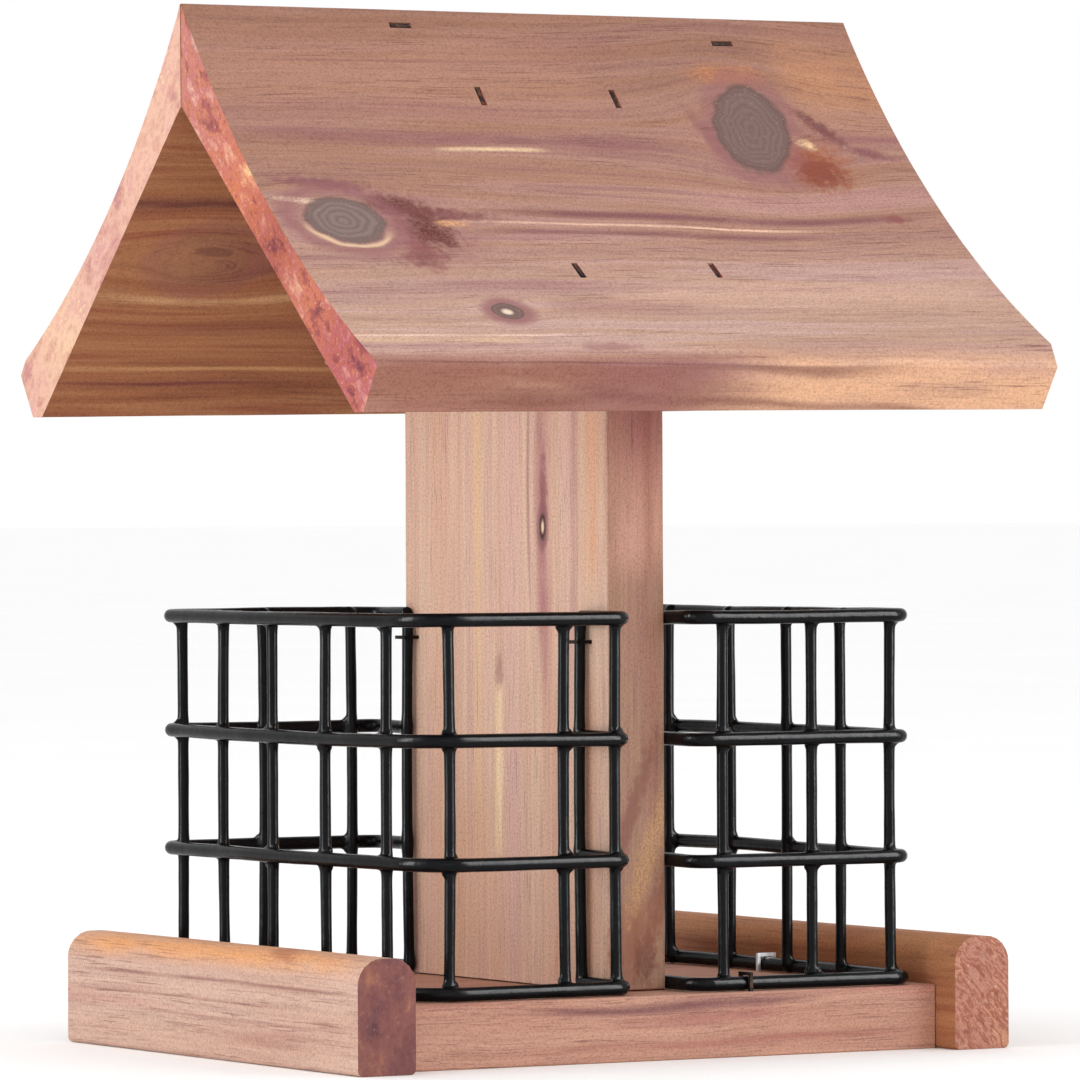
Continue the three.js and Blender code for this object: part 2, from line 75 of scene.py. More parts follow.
# ---------------------------------------------------------------- node graphs
class Graph:
    """A small builder for one material's nodes. Numbers become socket values, sockets become links."""

    def __init__(self, name):
        self.material = bpy.data.materials.new(name)
        self.material.use_nodes = True
        self.tree = self.material.node_tree
        self.tree.nodes.clear()

    def node(self, kind, **settings):
        made = self.tree.nodes.new(kind)
        for key, value in settings.items():
            setattr(made, key, value)
        return made

    def put(self, socket, value):
        if isinstance(value, bpy.types.NodeSocket):
            self.tree.links.new(value, socket)
        else:
            socket.default_value = value

    def math(self, operation, a, b=0.0, c=0.0):
        made = self.node("ShaderNodeMath", operation=operation)
        for socket, value in zip(made.inputs, (a, b, c)):
            self.put(socket, value)
        return made.outputs[0]

    def times(self, a, b):
        return self.math("MULTIPLY", a, b)

    def plus(self, a, b):
        return self.math("ADD", a, b)

    def minus(self, a, b):
        return self.math("SUBTRACT", a, b)

    def dot(self, vector, axis):
        made = self.node("ShaderNodeVectorMath", operation="DOT_PRODUCT")
        self.put(made.inputs[0], vector)
        self.put(made.inputs[1], tuple(axis))
        return made.outputs["Value"]

    def combine(self, x, y, z):
        made = self.node("ShaderNodeCombineXYZ")
        for socket, value in zip(made.inputs, (x, y, z)):
            self.put(socket, value)
        return made.outputs[0]

    def stretch(self, point, scale, shift=0.0):
        """The point's three numbers, each times its scale."""
        return self.combine(*[
            self.math("MULTIPLY_ADD", value, factor, shift) for value, factor in zip(point, scale)
        ])

    def noise(self, vector, detail=2.0, roughness=0.5, scale=1.0):
        made = self.node("ShaderNodeTexNoise")
        self.put(made.inputs["Vector"], vector)
        made.inputs["Scale"].default_value = scale
        made.inputs["Detail"].default_value = detail
        made.inputs["Roughness"].default_value = roughness
        return made.outputs["Fac"]

    def ease(self, value, low, high, out_low=0.0, out_high=1.0):
        made = self.node("ShaderNodeMapRange", interpolation_type="SMOOTHSTEP")
        for socket, number in zip(made.inputs, (value, low, high, out_low, out_high)):
            self.put(socket, number)
        return made.outputs[0]

    def ramp(self, value, stops, interpolation="EASE"):
        made = self.node("ShaderNodeValToRGB")
        made.color_ramp.interpolation = interpolation
        elements = made.color_ramp.elements
        while len(elements) < len(stops):
            elements.new(0.5)
        for element, (place, colour) in zip(elements, stops):
            element.position = place
            element.color = colour
        self.put(made.inputs[0], value)
        return made.outputs[0]

    def mix(self, share, a, b, blend="MIX"):
        made = self.node("ShaderNodeMix", data_type="RGBA", blend_type=blend)
        made.clamp_factor = True
        self.put(made.inputs[0], share)
        self.put(made.inputs[6], a)
        self.put(made.inputs[7], b)
        return made.outputs[2]

    def bump(self, height, distance, strength=1.0):
        made = self.node("ShaderNodeBump")
        made.inputs["Strength"].default_value = strength
        made.inputs["Distance"].default_value = distance
        self.put(made.inputs["Height"], height)
        return made.outputs[0]

    def finish(self, colour, roughness, normal=None, **fixed):
        """The shader. fixed are values that are the same all over."""
        shader = self.node("ShaderNodeBsdfPrincipled")
        self.put(shader.inputs["Base Color"], colour)
        self.put(shader.inputs["Roughness"], roughness)
        if normal is not None:
            self.put(shader.inputs["Normal"], normal)
        for key, value in fixed.items():
            shader.inputs[key.replace("_", " ")].default_value = value
        out = self.node("ShaderNodeOutputMaterial")
        self.tree.links.new(shader.outputs[0], out.inputs[0])
        return self.material


# ---------------------------------------------------------------- cedar
PLUM, CREAM = (140, 88, 92), (226, 192, 154)  # as 8-bit numbers, like all streaks and patches
GREY_KNOT, DARK_KNOT, PALE_KNOT = rgb(113, 88, 83), rgb(88, 64, 60), rgb(118, 92, 87)
RING_DARK, KNOT_FLECK = rgb(108, 83, 78), rgb(166, 138, 128)
DASH_BROWN = rgb(112, 66, 58)
PORE_DARK, PORE_LIGHT = rgb(104, 50, 50), rgb(238, 190, 152)
KNOT_REACH_ALONG, KNOT_REACH_ACROSS, KNOT_PUSH = 2.4, 1.35, 1.15  # how the grain parts round a knot
SLOPE = 190.0  # the distance down a roof board from the ridge to the tip
PATCH_RAGGED, KNOT_RAGGED = 1.3, 0.3  # how uneven the edges of patches and knots are
GRAIN_RELIEF, WOOD_SPECULAR = 0.12 * MM, 0.15


def cedar(name, axes, origin, bands, streaks=(), patches=(), knots=(), end=None, seed=0.0,
          dash=1.0, wander=7.0, shade=None, contrast=1.0):
    """Planed red cedar. axes are the unit vectors along the grain, across it and into the board.

    bands: ramp stops across the grain. streaks: (across, half width, from, to, colour, strength).
    patches: (along, across, half length, half width, tilt, colour, strength).
    knots: (along, across, half length, half width, tilt, look). end: the look of the end grain, with
    ramp stops and, for a board that changes from edge to edge, the stops of its fall.
    shade: (first across, last across, ramp stops between them) that multiply the colour: painted shade on
    faces and slopes turned from the light, an even darker tone on the base.
    """
    g = Graph(name)
    where = g.node("ShaderNodeTexCoord")
    place = g.node("ShaderNodeVectorMath", operation="MULTIPLY_ADD")
    g.put(place.inputs[0], where.outputs["Object"])
    g.put(place.inputs[1], (1 / MM,) * 3)
    g.put(place.inputs[2], tuple(-np.array(origin, float)))
    point = place.outputs[0]
    along, across, deep = (g.dot(point, axis) for axis in axes)

    # The grain wanders a little and flows round each knot.
    flow = across
    for l, w, a, b, tilt, _look in knots:
        dl = g.minus(along, l)
        dw = g.minus(flow, w)
        ql = g.times(dl, 1 / (KNOT_REACH_ALONG * a))
        qw = g.times(dw, 1 / (KNOT_REACH_ACROSS * b))
        q2 = g.plus(g.times(ql, ql), g.math("MULTIPLY_ADD", qw, qw, 1.0))
        push = g.math("DIVIDE", dw, g.times(q2, q2))
        flow = g.minus(flow, g.times(push, KNOT_PUSH))
    drift = g.noise(g.stretch((along, across, deep), (0.009, 0.03, 0.03), seed), 1.0)
    flow = g.plus(flow, g.math("MULTIPLY_ADD", drift, wander, -wander / 2))
    spot, grain = (along, across, deep), (along, flow, deep)

    # Broad bands of heartwood and sapwood.
    broad = g.noise(g.stretch(grain, (0.0035, 0.085, 0.06), seed + 3.0), 3.0, 0.55)
    colour = g.ramp(broad, bands)
    fibre = g.noise(g.stretch(grain, (0.012, 0.55, 0.5), seed + 9.0), 3.0, 0.6)
    colour = g.mix(0.75 * contrast, colour, g.ramp(fibre, [
        (0.3, (0.8, 0.77, 0.78, 1)), (0.5, (0.97, 0.96, 0.96, 1)), (0.72, (1.09, 1.1, 1.08, 1)),
    ], "LINEAR"), "MULTIPLY")
    # Painted shade and light: a ramp across the grain multiplies the colour by how that part of the board is
    # turned to the light.
    if shade:
        first, last, stops = shade
        fall = g.math("MULTIPLY_ADD", across, 1 / (last - first), -first / (last - first))
        colour = g.mix(1.0, colour, g.ramp(fall, stops, "LINEAR"), "MULTIPLY")

    soft = g.noise(g.stretch(spot, (0.03, 0.12, 0.12), seed + 5.0), 2.0)
    for w, half, start, stop, tint, strength in streaks:
        off = g.math("ABSOLUTE", g.minus(flow, w))
        mask = g.ease(off, 0.0, half, strength, 0.0)
        middle, reach = (start + stop) / 2, abs(stop - start) / 2
        gone = g.math("ABSOLUTE", g.minus(along, middle))
        mask = g.times(mask, g.ease(gone, reach * 0.55, reach, 1.0, 0.0))
        mask = g.times(mask, g.ease(soft, 0.2, 0.6, 0.45, 1.15))
        colour = g.mix(mask, colour, rgb(*tint))

    rough_edge = g.noise(g.stretch(spot, (0.35, 0.35, 0.35), seed), 3.0, 0.65)
    speck = g.noise(g.stretch(spot, (1.1, 1.1, 1.1), seed + 2.0), 2.0, 0.7)
    ragged = g.math("MULTIPLY_ADD", rough_edge, 1.0, -0.5)

    lump = g.plus(g.noise(g.stretch(spot, (0.12, 0.12, 0.12), seed + 8.0), 1.0), -0.5)

    def oval(l, w, a, b, tilt, edge, wobble):
        c, s = math.cos(tilt), math.sin(tilt)
        dl = g.minus(along, l)
        dw = g.minus(across, w)
        u = g.plus(g.times(dl, c / a), g.times(dw, s / a))
        v = g.plus(g.times(dl, -s / b), g.times(dw, c / b))
        q = g.math("SQRT", g.plus(g.times(u, u), g.times(v, v)))
        return g.math("MULTIPLY_ADD", edge, wobble, q)

    for l, w, a, b, tilt, tint, strength in patches:
        q = oval(l, w, a, b, tilt, ragged, PATCH_RAGGED)
        mask = g.times(g.ease(q, 0.25, 1.0, strength, 0.0), g.ease(speck, 0.3, 0.62, 0.5, 1.15))
        colour = g.mix(mask, colour, rgb(*tint))

    # Fine dark dashes, the cut vessels and resin lines of the summer wood.
    dashes = g.noise(g.stretch(grain, (0.045, 1.9, 1.6), seed + 1.0), 2.0, 0.62)
    presence = g.noise(g.stretch(grain, (0.008, 0.11, 0.08), seed + 4.0), 2.0)
    dashed = g.times(g.ease(dashes, 0.34, 0.44, 0.55 * dash, 0.0), g.ease(presence, 0.38, 0.62, 0.25, 1.0))
    colour = g.mix(dashed, colour, DASH_BROWN)
    colour = g.mix(1.0, colour, g.ramp(speck, [
        (0.25, (0.7, 0.66, 0.66, 1)), (0.5, (1, 1, 1, 1)), (0.78, (1.2, 1.2, 1.18, 1)),
    ], "LINEAR"), "MULTIPLY")

    height = g.plus(g.times(dashed, -0.8), g.times(fibre, 0.5))
    for l, w, a, b, tilt, look in knots:
        q = oval(l, w, a, b, tilt, lump, KNOT_RAGGED)
        halo = g.ease(g.math("ABSOLUTE", g.minus(q, look.get("halo_at", 1.15))),
                      0.0, look.get("halo_width", 0.42), look.get("halo", 0.55), 0.0)
        colour = g.mix(halo, colour, rgb(*PLUM))
        if "rim" in look:
            band = g.ease(g.math("ABSOLUTE", g.minus(q, 1.1)), 0.0, 0.13, 1.0, 0.0)
            side = g.plus(g.times(g.minus(along, l), look["rim"][0] / a),
                          g.times(g.minus(across, w), look["rim"][1] / b))
            colour = g.mix(g.times(band, g.ease(side, 0.1, 0.9, 0.0, 0.8)), colour, rgb(*CREAM))
        turns = g.math("SINE", g.math("MULTIPLY_ADD", q, look.get("rings", 46.0),
                                      g.times(ragged, 2.6)))
        heart = g.ramp(g.math("MULTIPLY_ADD", turns, 0.5, 0.5), [
            (0.0, look.get("dark", RING_DARK)), (0.35, look.get("tint", GREY_KNOT)),
            (1.0, look.get("light", PALE_KNOT)),
        ])
        heart = g.mix(g.ease(q, 0.74, 0.98, 0.0, 0.75), heart, DARK_KNOT)
        heart = g.mix(g.ease(speck, 0.6, 0.78), heart, KNOT_FLECK)
        core = look.get("core")
        if core:
            heart = g.mix(g.ease(q, 0.2, 0.5, 1.0, 0.0), heart, core)
        inside = g.ease(q, 0.88, 1.06, look.get("strength", 0.96), 0.0)
        colour = g.mix(inside, colour, heart)
        height = g.plus(height, g.times(inside, g.times(turns, 0.05)))

    if end:
        # End grain: growth rings cut square, speckled with resin, on the faces that cross the grain.
        facing = g.math("ABSOLUTE", g.dot(where.outputs["Normal"], axes[0]))
        is_end = g.ease(facing, 0.62, 0.8)
        pith = (along, g.minus(across, end.get("pith", (30.0, -60.0))[0]),
                g.minus(deep, end.get("pith", (30.0, -60.0))[1]))
        radius = g.math("SQRT", g.plus(g.times(pith[1], pith[1]), g.times(pith[2], pith[2])))
        radius = g.plus(radius, g.times(soft, 5.0))
        rings = g.noise(g.combine(g.times(radius, 0.42), seed, 0.0), 2.0, 0.7)
        mottle = g.noise(g.stretch(spot, (0.06, 0.06, 0.11), seed + 7.0), 4.0, 0.66)
        share = end.get("rings", 0.35)
        cut = g.ramp(g.math("MULTIPLY_ADD", rings, share, g.times(mottle, 1 - share)), end["stops"])
        if "fall" in end:
            cut = g.mix(1.0, cut, g.ramp(g.times(across, 1 / SLOPE), end["fall"], "LINEAR"),
                        "MULTIPLY")
        pores = g.noise(g.stretch(spot, (0.55, 0.55, 0.55), seed + 6.0), 3.0, 0.8)
        cut = g.mix(g.ease(pores, 0.33, 0.45, end.get("dark", 0.45), 0.0), cut, PORE_DARK)
        cut = g.mix(g.ease(pores, 0.58, 0.7, 0.0, end.get("light", 0.6)), cut, PORE_LIGHT)
        colour = g.mix(is_end, colour, cut)
        height = g.plus(height, g.times(g.times(pores, is_end), 1.2))

    roughness = g.ease(fibre, 0.2, 0.8, 0.78, 0.62)
    normal = g.bump(height, GRAIN_RELIEF, 0.7)
    return g.finish(colour, roughness, normal, Specular_IOR_Level=WOOD_SPECULAR)


# ---------------------------------------------------------------- outlines and boards
def unit(vector):
    return np.array(vector, float) / np.linalg.norm(vector)


BOARD_TURN, WIRE_TURN = 0.28, 0.2  # how far a round turns in one step, in radians
FLAT = 1.5  # half angles over this count as no corner


def corner(corners, i):
    """A corner's point, the ways back and on from it, and half of the angle between them."""
    before, here, after = (np.array(corners[k % len(corners)][:2], float) for k in (i - 1, i, i + 1))
    back, on = unit(before - here), unit(after - here)
    return here, back, on, math.acos(max(-1.0, min(1.0, float(back @ on)))) / 2


def arc(here, back, on, half, radius, steps):
    """The points of the round that takes a corner's place."""
    centre = here + unit(back + on) * radius / math.sin(half)
    first = here + back * radius / math.tan(half) - centre
    last = here + on * radius / math.tan(half) - centre
    return [centre + unit(first + (last - first) * k / steps) * radius for k in range(steps + 1)]


def rounded(corners, turns=None):
    """A closed outline of (u, v, radius) with its corners rounded off, and the steps used at each corner.

    turns: the steps to use, so that two outlines match point for point.
    """
    points, used = [], []
    for i, (_u, _v, radius) in enumerate(corners):
        here, back, on, half = corner(corners, i)
        steps = max(2, math.ceil((math.pi - 2 * half) / BOARD_TURN)) if radius and half < FLAT else 0
        if turns:
            steps = turns[i]
        used.append(steps)
        points += arc(here, back, on, half, radius, steps) if steps else [here]
    return points, used


def divided(points, pieces):
    """The same closed outline with each of its sides cut into this many pieces."""
    out = []
    for i, here in enumerate(points):
        there = points[(i + 1) % len(points)]
        out += [here + (there - here) * k / pieces[i] for k in range(pieces[i])]
    return np.array(out)


def outward(points):
    """The outward way at each point of a closed outline, whichever way round it runs."""
    ahead, behind = np.roll(points, -1, 0), np.roll(points, 1, 0)
    tangent = ahead - behind
    tangent /= np.linalg.norm(tangent, axis=1)[:, None]
    normal = np.stack([tangent[:, 1], -tangent[:, 0]], 1)
    area = np.sum(points[:, 0] * ahead[:, 1] - ahead[:, 0] * points[:, 1])
    return normal if area > 0 else -normal


def in_scene(name, data):
    """A new object that is linked to the scene."""
    made = bpy.data.objects.new(name, data)
    bpy.context.scene.collection.objects.link(made)
    return made


def make_object(name, verts, faces, smooth=True):
    mesh = bpy.data.meshes.new(name)
    mesh.from_pydata([tuple(v) for v in np.array(verts) * MM], [], faces)
    made = in_scene(name, mesh)
    work = bmesh.new()
    work.from_mesh(mesh)
    bmesh.ops.recalc_face_normals(work, faces=work.faces)
    work.to_mesh(mesh)
    work.free()
    for polygon in mesh.polygons:
        polygon.use_smooth = smooth
    return made


def circle(count):
    """The cosine and sine of even steps round a circle."""
    angles = [2 * math.pi * k / count for k in range(count)]
    return [(math.cos(angle), math.sin(angle)) for angle in angles]


def quads(start, rings, count):
    """The faces between neighbouring rings of count points each."""
    faces = []
    for a in range(start, start + (rings - 1) * count, count):
        for i in range(count):
            j = (i + 1) % count
            faces.append((a + i, a + j, a + count + j, a + count + i))
    return faces


def capped(start, rings, count):
    """The faces between the rings, and a flat face at both ends."""
    first, last = range(start, start + count), start + (rings - 1) * count
    return quads(start, rings, count) + [tuple(first)[::-1], tuple(range(last, last + count))]


END_EASE, EASE_STEPS = 0.18, 3
SINK_MEAN, SINK_SLOW, SINK_FINE = 0.07, 0.07, 0.03  # how far a planed face lies under its nominal plane


def board(name, low_outline, high_outline, start, stop, place, step=4.0, wear=None, seed=0):
    """A board between two outlines. place(along, u, v) gives a point; wear(along, u, v) sinks the face."""
    low, turns = rounded(low_outline)
    high, _ = rounded(high_outline, turns)
    sides = [np.linalg.norm(low[(i + 1) % len(low)] - low[i]) for i in range(len(low))]
    pieces = [max(1, math.ceil(side / step)) for side in sides]
    low, high = divided(low, pieces), divided(high, pieces)
    stations = [(start + END_EASE * (1 - math.cos(math.pi / 2 * k / EASE_STEPS)),
                 END_EASE * (1 - math.sin(math.pi / 2 * k / EASE_STEPS))) for k in range(EASE_STEPS)]
    inner = max(2, round((stop - start) / step))
    stations += [(start + END_EASE + (stop - start - 2 * END_EASE) * k / inner, 0.0)
                 for k in range(inner + 1)]
    stations += [(start + stop - x, inset) for x, inset in stations[:EASE_STEPS][::-1]]
    verts = []
    for x, inset in stations:
        t = (x - start) / (stop - start)
        outline = low * (1 - t) + high * t
        for (u, v), n in zip(outline, outward(outline)):
            spot = Vector((x * 0.02 + seed, u * 0.035, v * 0.035))
            sink = SINK_MEAN + SINK_SLOW * noise.noise(spot) + SINK_FINE * noise.noise(spot * 6)
            if wear:
                sink += wear(x, u, v)
            verts.append(place(x, u - n[0] * (inset + sink), v - n[1] * (inset + sink)))
    return make_object(name, verts, capped(0, len(stations), len(low)))


def cut(target, cutters):
    """Takes the cutters out of the target's mesh, and removes them."""
    for cutter in cutters:
        modifier = target.modifiers.new("cut", "BOOLEAN")
        modifier.operation = "DIFFERENCE"
        modifier.solver = "EXACT"
        modifier.object = cutter
    apply(target)
    for cutter in cutters:
        bpy.data.objects.remove(cutter)


def apply(target):
    """Bakes the target's modifiers into its mesh."""
    graph = bpy.context.evaluated_depsgraph_get()
    graph.update()
    mesh = bpy.data.meshes.new_from_object(target.evaluated_get(graph))
    target.modifiers.clear()
    old = target.data
    target.data = mesh
    bpy.data.meshes.remove(old)
    mesh.name = target.name


def weigh_normals(target):
    """Flat faces stay flat and eased edges stay round."""
    target.data.set_sharp_from_angle(angle=math.radians(50))
    modifier = target.modifiers.new("weighted", "WEIGHTED_NORMAL")
    modifier.keep_sharp = True
    modifier.weight = 100


def paint(piece, material):
    piece.data.materials.clear()
    piece.data.materials.append(material)


def settle(piece, material, node):
    """Gives a finished piece its material and body, and hides the CAD node it stands for."""
    paint(piece, material)
    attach(piece, "root")
    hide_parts(node)


def settle_board(piece, material, node):
    weigh_normals(piece)
    settle(piece, material, node)


along_x = lambda x, u, v: (x, u, v)
along_y = lambda y, u, v: (u, y, v)

# ---------------------------------------------------------------- sizes from the frame
base_low, base_high = node_box("base_board")
_, rail_high = node_box("end_rail_right")
post_low, post_high = node_box("upright_board")
roof_low, _ = node_box("roof_front_board")
_, roof_high = node_box("roof_rear_board")
LUMBER = base_high[2]
GAP = 0.3
RIDGE_Y = 7.0
RIDGE_TOP = roof_high[2]
RIDGE_UNDER = 324.3
EAVE_Y, EAVE_Z = roof_high[1], 234.5
COVE_Y, COVE_Z, COVE_DRIFT, COVE_SAG = 125.5, 240.0, 2.6, 10.0
TIP_Y, TIP_INNER_Y, TIP_Z = 120.0, 112.5, 220.0
FRONT_TIP_Z, REAR_TIP_Z = (218.9, 220.2), (219.6, 222.0)
COVE_STEPS = 30
RIDGE_ROUND, EAVE_ROUND, UNDER_ROUND = 0.2, 0.7, 0.5

RIDGE_POINT = np.array((0.0, RIDGE_Y, RIDGE_TOP))
FRONT_DOWN = unit((0.0, -COVE_Y - RIDGE_Y, COVE_Z - RIDGE_TOP))
REAR_DOWN = unit((0.0, COVE_Y - RIDGE_Y, COVE_Z - RIDGE_TOP))
FRONT_IN = np.array((0.0, -FRONT_DOWN[2], FRONT_DOWN[1]))
REAR_IN = np.array((0.0, REAR_DOWN[2], -REAR_DOWN[1]))

# ---------------------------------------------------------------- materials
ROOF_BANDS = shades(
    (0.28, 170, 119, 108), (0.4, 186, 140, 121), (0.48, 190, 143, 118),
    (0.56, 197, 152, 134), (0.66, 186, 138, 126), (0.78, 204, 162, 136),
)
# Painted shade down the slope: the roof is multiplied darker at the ridge and lighter towards the cove,
# following the light from above, over the wood's own tone.
ROOF_SHADE = (0.0, SLOPE, [
    (0.0, (0.565, 0.5, 0.475, 1)), (0.3, (0.67, 0.63, 0.62, 1)), (0.55, (0.76, 0.75, 0.79, 1)),
    (0.72, (0.92, 1.03, 1.16, 1)), (0.9, (0.95, 1.09, 1.2, 1)), (1.0, (0.95, 0.96, 0.98, 1)),
])
RED_END = {"stops": shades(
    (0.34, 128, 58, 66), (0.42, 168, 84, 76), (0.48, 198, 112, 84),
    (0.53, 190, 104, 98), (0.59, 210, 136, 116), (0.67, 230, 184, 152),
), "fall": [
    (0.0, (0.95, 1.2, 1.4, 1)), (0.22, (0.95, 1.1, 1.15, 1)), (0.4, (1.0, 1.0, 0.75, 1)),
    (0.56, (0.68, 0.56, 0.6, 1)), (0.7, (0.95, 1.0, 0.9, 1)), (0.86, (0.76, 0.62, 0.8, 1)),
    (1.0, (0.86, 0.82, 1.0, 1)),
], "light": 0.4, "dark": 0.4, "rings": 0.1}
PALE_END = {"stops": shades(
    (0.36, 190, 134, 130), (0.44, 210, 160, 142), (0.52, 222, 178, 158),
    (0.6, 212, 160, 150), (0.68, 238, 210, 162),
), "fall": [
    (0.0, (0.98, 0.96, 0.95, 1)), (0.3, (1.0, 0.98, 0.94, 1)), (0.55, (0.93, 0.86, 0.92, 1)),
    (0.75, (1.06, 1.12, 0.98, 1)), (0.88, (0.98, 0.95, 0.92, 1)), (1.0, (1.0, 1.0, 1.0, 1)),
], "dark": 0.2, "light": 0.35, "rings": 0.1}
PLUM_END = {"stops": shades(
    (0.34, 86, 48, 53), (0.45, 113, 66, 65), (0.56, 127, 76, 70),
    (0.7, 156, 100, 76),
), "dark": 0.55, "light": 0.12, "rings": 0.2}
BANDED_END = {"stops": shades(
    (0.36, 112, 56, 46), (0.43, 156, 92, 72), (0.48, 180, 126, 106),
    (0.53, 152, 86, 64), (0.58, 188, 134, 108), (0.66, 172, 102, 66),
), "dark": 0.45, "light": 0.55, "rings": 0.5, "pith": (-40.0, 60.0)}

roof_front_wood = cedar(
    "roof_front_wood", ((1, 0, 0), FRONT_DOWN, FRONT_IN), RIDGE_POINT, ROOF_BANDS,
    streaks=[
        (59.0, 7.0, -150, 60, (132, 82, 86), 0.6),
        (64.8, 1.9, -60, -10, CREAM, 0.75),
        (17.5, 7.0, -25, 40, PLUM, 0.25),
        (96.0, 3.6, -60, 135, (120, 70, 76), 0.75),
        (101.3, 1.1, -80, 92, (232, 190, 164), 0.8),
        (105.6, 2.6, -72, 100, (120, 70, 76), 0.65),
        (55.0, 3.0, 92, 150, PLUM, 0.7),
        (150.0, 6.0, -60, 20, PLUM, 0.3),
        (167.2, 1.1, -150, -36, (234, 198, 182), 0.8),
        (170.5, 4.0, -150, -60, (214, 176, 140), 0.6),
        (142.0, 14.0, -40, 150, (212, 172, 150), 0.4),
        (30.0, 30.0, 88, 165, (188, 132, 96), 0.6),
        (30.0, 30.0, -170, 40, (176, 128, 106), 0.45),
        (24.0, 1.0, -130, 60, (140, 92, 88), 0.6),
        (44.0, 1.0, -120, 30, (142, 96, 96), 0.5),
        (75.0, 1.4, -60, 70, (150, 100, 96), 0.5),
        (84.0, 9.0, 20, 150, (186, 140, 132), 0.5),
        (186.0, 9.0, -10, 190, (222, 172, 136), 0.8),
        (186.0, 9.0, -220, 30, (146, 94, 80), 0.8),
        (184.5, 0.9, -150, 90, (112, 66, 60), 0.6),
        (188.0, 0.8, -120, 150, (120, 72, 60), 0.55),
        (191.0, 1.0, -150, 60, (120, 72, 58), 0.5),
    ],
    patches=[
        (84.0, 79.0, 18.0, 6.0, -0.2, PLUM, 0.55),
        (103.0, 51.0, 16.0, 4.6, 0.9, (112, 62, 62), 0.95),
        (118.0, 63.4, 13.0, 3.4, 0.25, (126, 74, 78), 0.9),
        (55.0, 55.0, 4.0, 20.0, -0.25, (132, 82, 84), 0.6),
        (92.0, 69.0, 21.0, 18.0, 0.3, (158, 92, 62), 1.0),
        (93.0, 73.0, 14.0, 12.0, 0.3, (130, 60, 42), 1.0),
        (93.0, 59.0, 6.5, 3.6, 0.5, (222, 184, 142), 0.9),
        (-80.0, 106.0, 28.0, 27.0, 0.2, (150, 98, 96), 0.6),
        (-82.0, 95.0, 22.0, 8.0, 0.3, (98, 48, 44), 0.95),
        (-66.0, 98.0, 26.0, 4.0, 0.1, (116, 64, 64), 0.75),
        (-77.0, 108.0, 14.0, 12.0, 0.3, (96, 44, 36), 0.95),
        (-85.0, 120.0, 13.0, 12.0, -0.4, (126, 66, 68), 0.75),
        (-67.0, 102.8, 9.0, 2.4, 0.0, (214, 160, 116), 0.8),
        (-108.0, 82.5, 26.0, 4.0, 0.12, (130, 80, 86), 0.9),
        (-122.0, 91.0, 11.0, 2.4, 0.1, (230, 200, 172), 1.0),
        (112.5, 99.0, 7.0, 4.0, 0.1, (134, 64, 66), 0.7),
        (-41.0, 176.0, 16.0, 4.0, 0.0, PLUM, 0.6),
        (-25.0, 186.0, 50.0, 7.0, -0.1, PLUM, 0.4),
        (62.0, 60.0, 12.0, 20.0, 0.3, PLUM, 0.35),
        (75.0, 26.0, 22.0, 7.0, 0.0, (196, 124, 72), 0.5),
    ],
    knots=[
        (74.3, 52.5, 15.0, 23.5, 0.32, {"halo": 0.55, "halo_at": 1.1, "halo_width": 0.4}),
        (-107.6, 101.4, 15.5, 12.4, 0.1, {"rim": (-0.2, 0.98), "halo": 0.65, "halo_at": 1.35,
                                          "halo_width": 0.45, "rings": 30.0, "dark": rgb(112, 92, 88),
                                          "tint": rgb(120, 100, 96), "light": rgb(128, 108, 103)}),
        (-68.4, 153.2, 6.0, 5.2, 0.1, {"core": rgb(226, 206, 184), "halo": 0.8, "halo_width": 0.9,
                                      "rings": 9.0}),
    ],
    end=RED_END, seed=4.0, shade=ROOF_SHADE, contrast=0.9, dash=1.15,
)
roof_rear_wood = cedar(
    "roof_rear_wood", ((1, 0, 0), REAR_DOWN, REAR_IN), RIDGE_POINT,
    shades((0.28, 132, 78, 56), (0.4, 160, 105, 72), (0.5, 170, 117, 82),
     (0.6, 154, 95, 68), (0.75, 186, 138, 92)),
    streaks=[
        (74.0, 6.0, -150, -60, (96, 50, 50), 0.85),
        (150.0, 2.2, -150, 20, (206, 160, 112), 0.6),
        (158.0, 1.6, -140, -40, (120, 64, 66), 0.7),
        (178.0, 2.0, -150, 60, (206, 166, 116), 0.6),
        (98.0, 5.0, -120, 150, (120, 66, 62), 0.6),
        (112.0, 4.0, -150, 60, (208, 164, 120), 0.7),
        (128.0, 6.0, -150, 150, (132, 78, 66), 0.45),
    ],
    knots=[
        (-96.0, 97.0, 18.0, 14.0, 0.0, {"strength": 0.2, "halo": 0.3, "rings": 12.0}),
        (35.0, 118.0, 11.0, 9.0, 0.3, {"halo": 0.6}),
        (88.0, 40.0, 6.5, 5.0, 0.0, {"core": rgb(90, 60, 54), "halo": 0.6}),
    ],
    end=PALE_END, seed=11.0,
)
